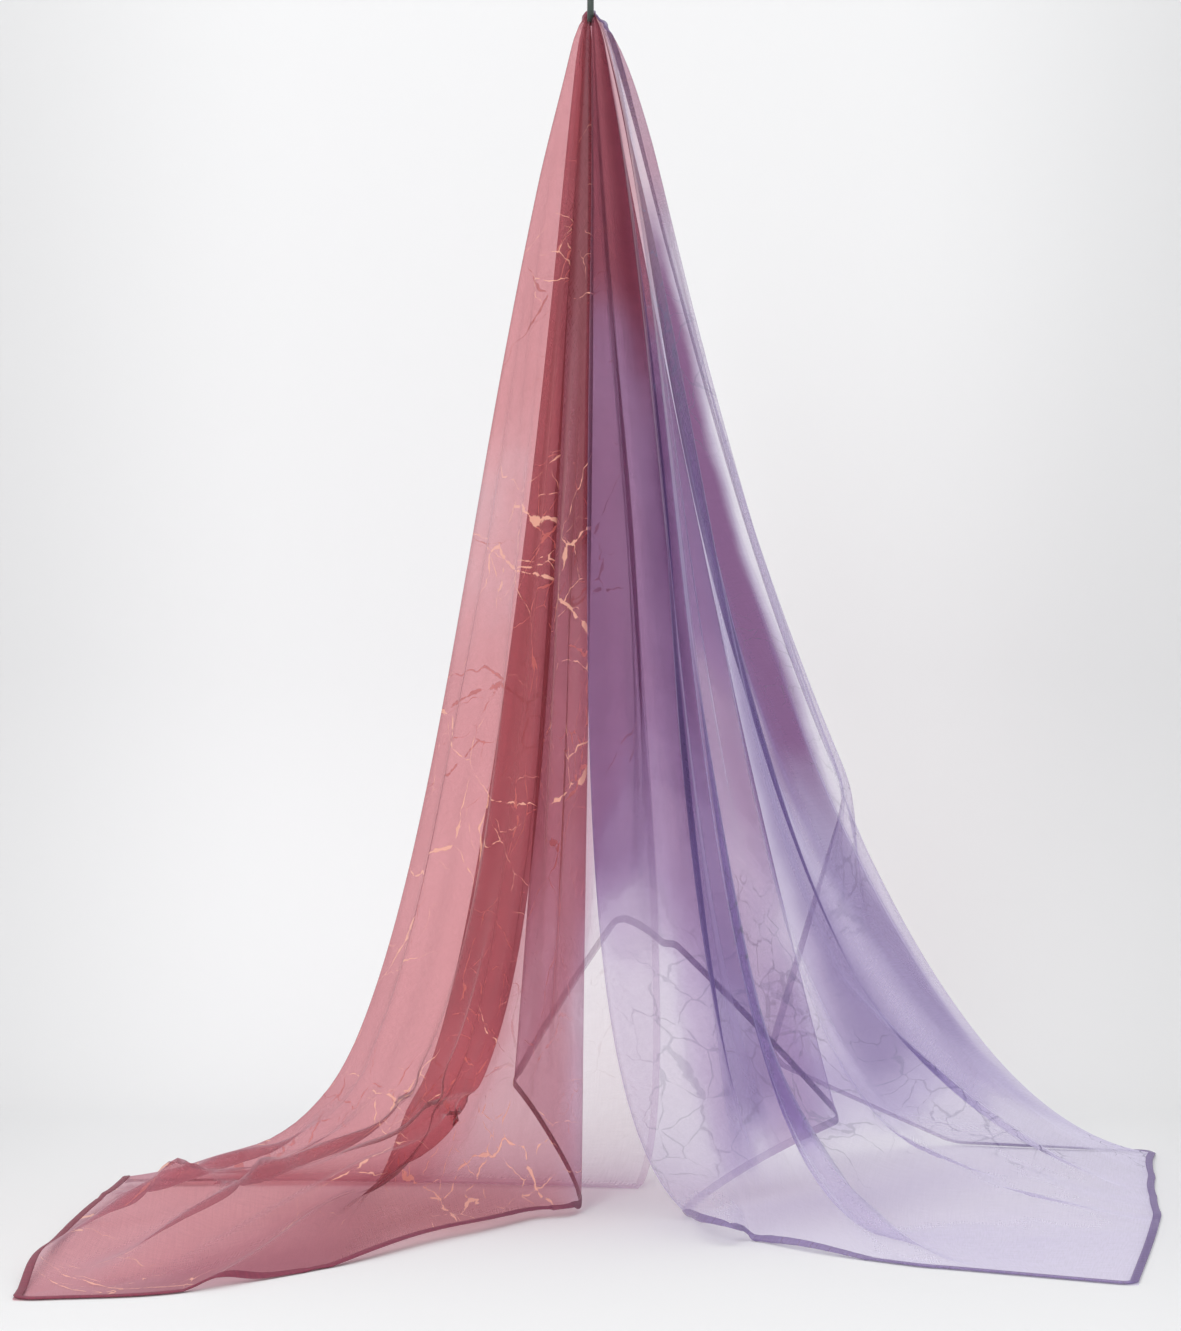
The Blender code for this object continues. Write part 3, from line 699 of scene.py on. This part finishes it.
# One row for each wash over the ground: its angle and half its width in degrees, the distances from the hook
# between which it lies, and its own three shares. Most rows are washes of the print's dye; the rows marked
# below are painted shade in the folds, laid as thick dye.
WASHES_AND_FOLD_SHADE = (
    (100.0, 55.0, 0.00, 0.20, (0.4, 0.1, 0.1)),
    (172.0, 9.0, 0.00, 0.16, (0.2, 0.4, 0.4)),
    # Painted shade: thick dye along the middle_front fold below the hook, where the fold is in shadow.
    (61.0, 3.0, 0.00, 0.40, (0.9, 0.1, 0.0)),
    # Painted shade: this row and the next two lay thick dye beside the pleat_front fold, in the valley's
    # shadow.
    (131.0, 4.0, 0.00, 0.26, (0.9, 0.2, 0.0)),
    (133.0, 4.5, 0.26, 0.66, (0.9, 0.8, 0.0)),
    (134.0, 4.0, 0.62, 0.84, (0.6, 1.0, 0.1)),
    (122.0, 3.0, 0.30, 0.64, (0.3, 0.7, 0.1)),
    (115.0, 4.0, 0.25, 0.60, (0.1, 0.6, 0.1)),
    (105.0, 6.0, 0.24, 0.60, (0.3, 0.7, 0.1)),
    (154.0, 3.0, 0.40, 0.82, (0.6, 1.0, 0.0)),
    # Painted shade: this row and the next lay thick dye along the outer_front fold, where its shadow falls.
    (163.5, 3.5, 0.16, 0.62, (1.0, 0.7, 0.0)),
    (164.0, 3.0, 0.58, 0.78, (0.6, 1.0, 0.1)),
    (146.0, 4.0, 0.46, 0.76, (0.0, 1.0, 0.6)),
    (145.0, 22.0, 0.84, 1.20, (0.0, 1.0, 0.7)),
    (175.0, 8.0, 0.16, 1.00, (0.0, 1.0, 0.7)),
    (98.0, 14.0, 0.58, 0.84, (0.0, 0.9, 0.8)),
    (121.0, 6.0, 0.66, 0.96, (0.0, 0.9, 0.8)),
    (70.0, 9.0, 0.60, 0.86, (0.0, 0.6, 0.5)),
    (3.0, 7.0, 0.12, 1.00, (0.0, 0.5, 0.8)),
    (24.0, 9.0, 0.28, 0.44, (0.0, 0.0, 0.4)),
    (43.0, 6.0, 0.18, 0.70, (0.4, 0.1, 0.1)),
    (44.0, 6.0, 0.82, 1.08, (0.4, 0.2, 0.0)),
    (30.0, 6.0, 0.90, 1.06, (0.0, 0.0, 0.2)),
)
# How far a wash's edge runs out, in degrees and in metres.
EDGE_ACROSS = 2.0
EDGE_DOWN = 0.05
BARE_THREAD = (0.76, 0.72, 0.88)
VEIN_GOLD = (0.90, 0.47, 0.34)
VEIN_GREY = (0.20, 0.18, 0.32)
# The share of the cloth that its threads fill, seen square on, and the least cosine of a slant
# that is told apart.
COVER = 0.14
LEAST_COSINE = 0.08
# How far noise carries the dye, as a share of the half turn and in metres, and how far it carries
# the veins in metres. Then the least width of a vein, as a share of the cells between the veins.
RUNS_ACROSS = 0.03
RUNS_DOWN = 0.25
VEINS_RUN = (0.16, 0.16, 0.0)
LEAST_VEIN = 0.0001
# The distances from the hook between which painted shade darkens the cloth where it bunches at the pinch:
# the dye is made thickest there and is not washed out.
PINCH_SHADE_SPAN = (0.008, 0.036)
# The shares of the length between which the veins turn from grey ones to gold ones.
GOLD_BEGINS = (0.40, 0.56)


def flat_places(nodes):
    """A point's place on the flat cut, and its parts along and down the cloth."""
    place = nodes.add("ShaderNodeUVMap", {"uv_map": "FlatCut"}, {})
    along, down = (nodes.add("ShaderNodeSeparateXYZ", {}, {0: place}, part) for part in range(2))
    return place, along, down


def half_turn(along, down):
    """A place's angle seen from the pinched point, as a share of the half turn."""
    return down.math("ARCTAN2", down, along) * (1 / math.pi)


def washed_and_fold_shaded(nodes, angle, distance):
    """How thick the dye is, how violet and how washed out, from its ground and its washes, with painted
    shade laid as thick dye along some folds.
    """
    shares = nodes.ramp(angle, [(row[0] / 180, row[1]) for row in GROUND])
    for middle, half, near, far, own in WASHES_AND_FOLD_SHADE:
        off = angle.math("ABSOLUTE", angle - middle / 180)
        across = 1 - off.between((half - EDGE_ACROSS) / 180, (half + EDGE_ACROSS) / 180)
        inside = distance.between(near - EDGE_DOWN, near + EDGE_DOWN)
        past = distance.between(far - EDGE_DOWN, far + EDGE_DOWN)
        shares = nodes.mix(across * inside * (1 - past), shares, own)
    return (nodes.add("ShaderNodeSeparateColor", {}, {0: shares}, part) for part in range(3))


def veins(nodes, warped, scale, width, sharpness):
    """Thin lines between the cells of a warped pattern, as wide as given in the cells' own size."""
    values = {"Vector": warped, "Scale": scale}
    crack = nodes.add("ShaderNodeTexVoronoi", {"feature": "DISTANCE_TO_EDGE"}, values)
    width = width + LEAST_VEIN
    return 1 - crack.between(width * sharpness, width)


def closed_share(nodes, place):
    """The share that the threads fill, which grows with the slant, and their own uneven weave."""
    facing = nodes.add("ShaderNodeLayerWeight", {}, {"Blend": 0.5}, 1)
    cosine = facing.math("MAXIMUM", 1 - facing, LEAST_COSINE)
    slubs = nodes.noise(nodes.vector("MULTIPLY", place, (60.0, 900.0, 1.0)), 1.0)
    slubs = slubs + nodes.noise(nodes.vector("MULTIPLY", place, (900.0, 60.0, 1.0)), 1.0)
    return 1 - (1 - COVER * (0.4 + slubs * 0.6)) ** (1 / cosine)


def printed_chiffon_with_painted_shade():
    """The printed cloth, with painted shade along some folds and where it bunches at the hook.

    What passes between the threads takes the colour of the dye there, and the threads scatter the
    rest. Seen aslant the threads close up: the open share is the square-on share to the power of
    one over the cosine of the slant.
    """
    nodes = Nodes("printed_chiffon_with_painted_shade")
    place, along, down = flat_places(nodes)
    values = {"Vector": place, "Scale": 6.0, "Detail": 5.0}
    push = nodes.vector("SUBTRACT", nodes.add("ShaderNodeTexNoise", {}, values, 1), (0.5, 0.5, 0.5))
    runny, runnier = (nodes.add("ShaderNodeSeparateXYZ", {}, {0: push}, part) for part in range(2))
    angle = half_turn(along, down) + runny * RUNS_ACROSS
    distance = down.math("SQRT", along * along + down * down) + runnier * RUNS_DOWN
    thick, cool, bare = washed_and_fold_shaded(nodes, angle, distance)

    # The washed-out parts have ragged edges with a darker rim.
    ragged = nodes.noise(place, 13.0, 6.0, 0.62)
    edge = bare + (ragged - 0.5) * 0.5
    rim = edge.between(0.40, 0.50) * (1 - edge.between(0.50, 0.54))
    # Painted shade: near the hook, where the cloth bunches, the dye is thickened and kept from washing out.
    pinch_shade = 1 - distance.between(*PINCH_SHADE_SPAN)
    thick = thick + rim * 0.14 + (ragged - 0.5) * 0.22 + pinch_shade * 0.6
    bare = (bare * 0.5 + edge.between(0.30, 0.70) * 0.5) * (1 - pinch_shade)
    thin_dye = nodes.blend(cool, nodes.clear(CLEAR_ROSE), nodes.clear(CLEAR_VIOLET))
    thick_dye = nodes.blend(cool, nodes.clear(THICK_ROSE), nodes.clear(THICK_VIOLET))
    gaps = nodes.blend(bare, nodes.blend(thick, thin_dye, thick_dye), nodes.clear(BARE))

    # Two sizes of gold veins cross the rose end and one of grey veins the lavender end, in flakes.
    share = along / FLAT_LENGTH + 0.5
    plum = share.between(*GOLD_BEGINS)
    warped = nodes.vector("ADD", nodes.vector("MULTIPLY", push, VEINS_RUN), place)
    patchy = nodes.noise(place, 7.0, 3.0)
    flake = nodes.noise(place, 110.0, 3.0)
    wide = patchy.between(0.45, 0.62) * flake.between(0.38, 0.60) * 0.018
    fine = patchy.between(0.50, 0.66) * flake.between(0.40, 0.60) * 0.022
    faint = nodes.noise(place, 4.0, 2.0).between(0.54, 0.68) * flake.between(0.3, 0.6) * 0.075
    gold = veins(nodes, warped, 9.0, wide, 0.5)
    gold = gold.math("MAXIMUM", gold, veins(nodes, warped, 24.0, fine, 0.5))
    gold = gold * plum * (1 - bare * 0.8)
    grey = veins(nodes, warped, 40.0, faint, 0.4) * (1 - plum)

    dye = nodes.mix(bare * 0.8, nodes.ramp(share, DYES), BARE_THREAD)
    dye = nodes.mix(grey, nodes.mix(gold, dye, VEIN_GOLD), VEIN_GREY)
    threads = nodes.principled(Base_Color=dye, Roughness=0.75, Sheen_Weight=0.2, Sheen_Roughness=0.4)
    filled = closed_share(nodes, place)
    filled = filled.math("MAXIMUM", filled, gold * 0.75)
    filled = filled.math("MAXIMUM", filled, grey * 0.32)
    nodes.show(nodes.blend(filled, gaps, threads))
    return nodes.material


def keep_flat_place(piece, flat):
    """Keeps each point's place on the flat cut as a UV map, in metres."""
    flat_map = piece.data.uv_layers.new(name="FlatCut")
    corner_of = np.empty(len(piece.data.loops), dtype=np.int32)
    piece.data.loops.foreach_get("vertex_index", corner_of)
    flat_map.uv.foreach_set("vector", flat.reshape(-1, 2)[corner_of].astype(np.float32).ravel())


flat = fan_grid()
places = draped(flat[..., 0], flat[..., 1])
veil = new_piece("chiffon_cloth", sheet_mesh("chiffon_cloth", places), printed_chiffon_with_painted_shade())
keep_flat_place(veil, flat)
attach(veil, "root")
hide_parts(*[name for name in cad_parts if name.startswith("fall_")], "gather")

# ---------------------------------------------------------------------------------------------
# The rolled hem is the cloth's own edge, turned under twice and stitched, so it is narrow, thicker
# and darker than the cloth. It runs all the way round the flat cut.

HEM_WIDTH = 0.0052
HEM_THICKNESS = 0.0015
HEM_CORNER = 0.009
HEM_CORNER_STEPS = 7
HEM_STEP = 0.0016
HEM_SIDES = 10
# The step into the cloth that shows which way it lies beside the roll, and the least height of the
# roll's underside.
HEM_INWARD = 0.002
HEM_FLOOR = 0.0001
# One row for each place round the edge, as an angle in degrees seen from the pinched point: how
# much of it the dyed threads fill there, and their colour. The held edge and the washed-out
# stretches of the far edge took little dye.
HEM_DYES = (
    (0.0, 0.06, (0.60, 0.48, 0.55)),
    (14.0, 0.08, (0.50, 0.34, 0.38)),
    (19.0, 0.60, (0.30, 0.045, 0.080)),
    (30.0, 0.78, (0.30, 0.045, 0.080)),
    (48.0, 0.78, (0.30, 0.050, 0.095)),
    (73.0, 0.62, (0.24, 0.07, 0.13)),
    (79.0, 0.20, (0.45, 0.34, 0.44)),
    (97.0, 0.18, (0.42, 0.36, 0.50)),
    (101.0, 0.55, (0.30, 0.23, 0.42)),
    (109.0, 0.50, (0.30, 0.23, 0.42)),
    (113.0, 0.10, (0.50, 0.45, 0.60)),
    (120.0, 0.14, (0.42, 0.36, 0.60)),
    (124.0, 0.55, (0.27, 0.20, 0.44)),
    (177.0, 0.60, (0.26, 0.19, 0.43)),
    (180.0, 0.22, (0.50, 0.45, 0.60)),
)
STITCHES = (0.10, 0.03, 0.06)


def cut_edge(inset):
    """Places at even steps along a line inside the cut edge of the cloth, all the way round.

    It is the flat cut's rectangle with round corners.
    """
    half, far, corner = FLAT_LENGTH / 2 - inset, FLAT_WIDTH - inset, HEM_CORNER
    turn = np.linspace(0.0, math.pi / 2, HEM_CORNER_STEPS)
    bends = []
    for middle_along, middle_down, start in (
        (half - corner, inset + corner, 0.0),
        (-half + corner, inset + corner, 1.0),
        (-half + corner, far - corner, 2.0),
        (half - corner, far - corner, 3.0),
    ):
        swing = turn + math.pi / 2 * start
        bend = (middle_along + corner * np.cos(swing), middle_down - corner * np.sin(swing))
        bends.append(np.stack(bend, -1))
    line = np.vstack([*bends, bends[0][:1]])
    length = arc_lengths(line)
    even = np.linspace(0.0, length[-1], int(length[-1] / HEM_STEP), endpoint=False)
    return np.stack([np.interp(even, length, line[:, axis]) for axis in range(2)], axis=-1)


def hem_tube():
    """The roll, as a flat oval carried along the edge, and each point's place on the flat cut.

    The oval's long way lies in the cloth and its short way stands square to it.
    """
    edge = cut_edge(HEM_WIDTH / 2)
    places = draped(edge[:, 0], edge[:, 1], HEM_THICKNESS / 2)
    run = unit(np.roll(places, -1, axis=0) - np.roll(places, 1, axis=0))
    way = unit(np.roll(edge, -1, axis=0) - np.roll(edge, 1, axis=0))
    inside = edge + np.stack((way[:, 1], -way[:, 0]), axis=-1) * HEM_INWARD
    inside_places = draped(inside[:, 0], inside[:, 1], HEM_THICKNESS / 2)
    level = inside_places - places
    level = unit(level - run * np.sum(level * run, axis=-1, keepdims=True))
    upright = np.cross(run, level)
    swing = np.linspace(0.0, 2 * math.pi, HEM_SIDES, endpoint=False)[None, :, None]
    ring = places[:, None] + level[:, None] * np.cos(swing) * HEM_WIDTH / 2
    ring = ring + upright[:, None] * np.sin(swing) * HEM_THICKNESS / 2
    ring[..., 2] = np.maximum(ring[..., 2], ground + HEM_FLOOR)
    return ring, np.repeat(edge[:, None], HEM_SIDES, axis=1)


def dyed_hem():
    """The roll, dyed as the edge of the cloth is, and almost clear where the dye is washed out."""
    nodes = Nodes("dyed_hem")
    place, along, down = flat_places(nodes)
    angle = half_turn(along, down)
    filled = nodes.ramp(angle, [(row[0] / 180, [row[1]] * 3) for row in HEM_DYES])
    dye = nodes.ramp(angle, [(row[0] / 180, row[2]) for row in HEM_DYES])
    stitches = nodes.noise(nodes.vector("MULTIPLY", place, (400.0, 400.0, 1.0)), 1.0)
    dye = nodes.mix(stitches.between(0.3, 0.7) * 0.35, dye, STITCHES)
    threads = nodes.principled(Base_Color=dye, Roughness=0.7, Sheen_Weight=0.05, Sheen_Roughness=0.4)
    nodes.show(nodes.blend(filled, nodes.clear(BARE), threads))
    return nodes.material


ring, flat_ring = hem_tube()
ring = np.concatenate((ring, ring[:1]))
flat_ring = np.concatenate((flat_ring, flat_ring[:1]))
hem = new_piece("rolled_hem", sheet_mesh("rolled_hem", ring, close_round=True), dyed_hem())
keep_flat_place(hem, flat_ring)
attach(hem, "root")
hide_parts(*[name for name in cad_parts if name.startswith("hem_")])

# ---------------------------------------------------------------------------------------------
# The hook is a bent steel wire on a small plate, with a dark grey-green coat of paint. It keeps the
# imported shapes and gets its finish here.

HOOK_PAINT = (0.040, 0.052, 0.046)


def painted_steel():
    """A thin, slightly uneven coat of paint."""
    nodes = Nodes("painted_steel")
    place = nodes.add("ShaderNodeTexCoord", {}, {}, 3)
    uneven = nodes.noise(place, 180.0, 3.0)
    bump = nodes.add("ShaderNodeBump", {}, {"Height": uneven, "Strength": 0.12, "Distance": 0.0004})
    paint = nodes.mix(uneven, HOOK_PAINT, [part * 1.6 for part in HOOK_PAINT])
    nodes.principled(Base_Color=paint, Metallic=0.35, Roughness=uneven * 0.2 + 0.32, Normal=bump)
    return nodes.material


paint = painted_steel()
for name in ("hook_wire", "hook_plate"):
    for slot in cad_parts[name].material_slots:
        slot.material = paint
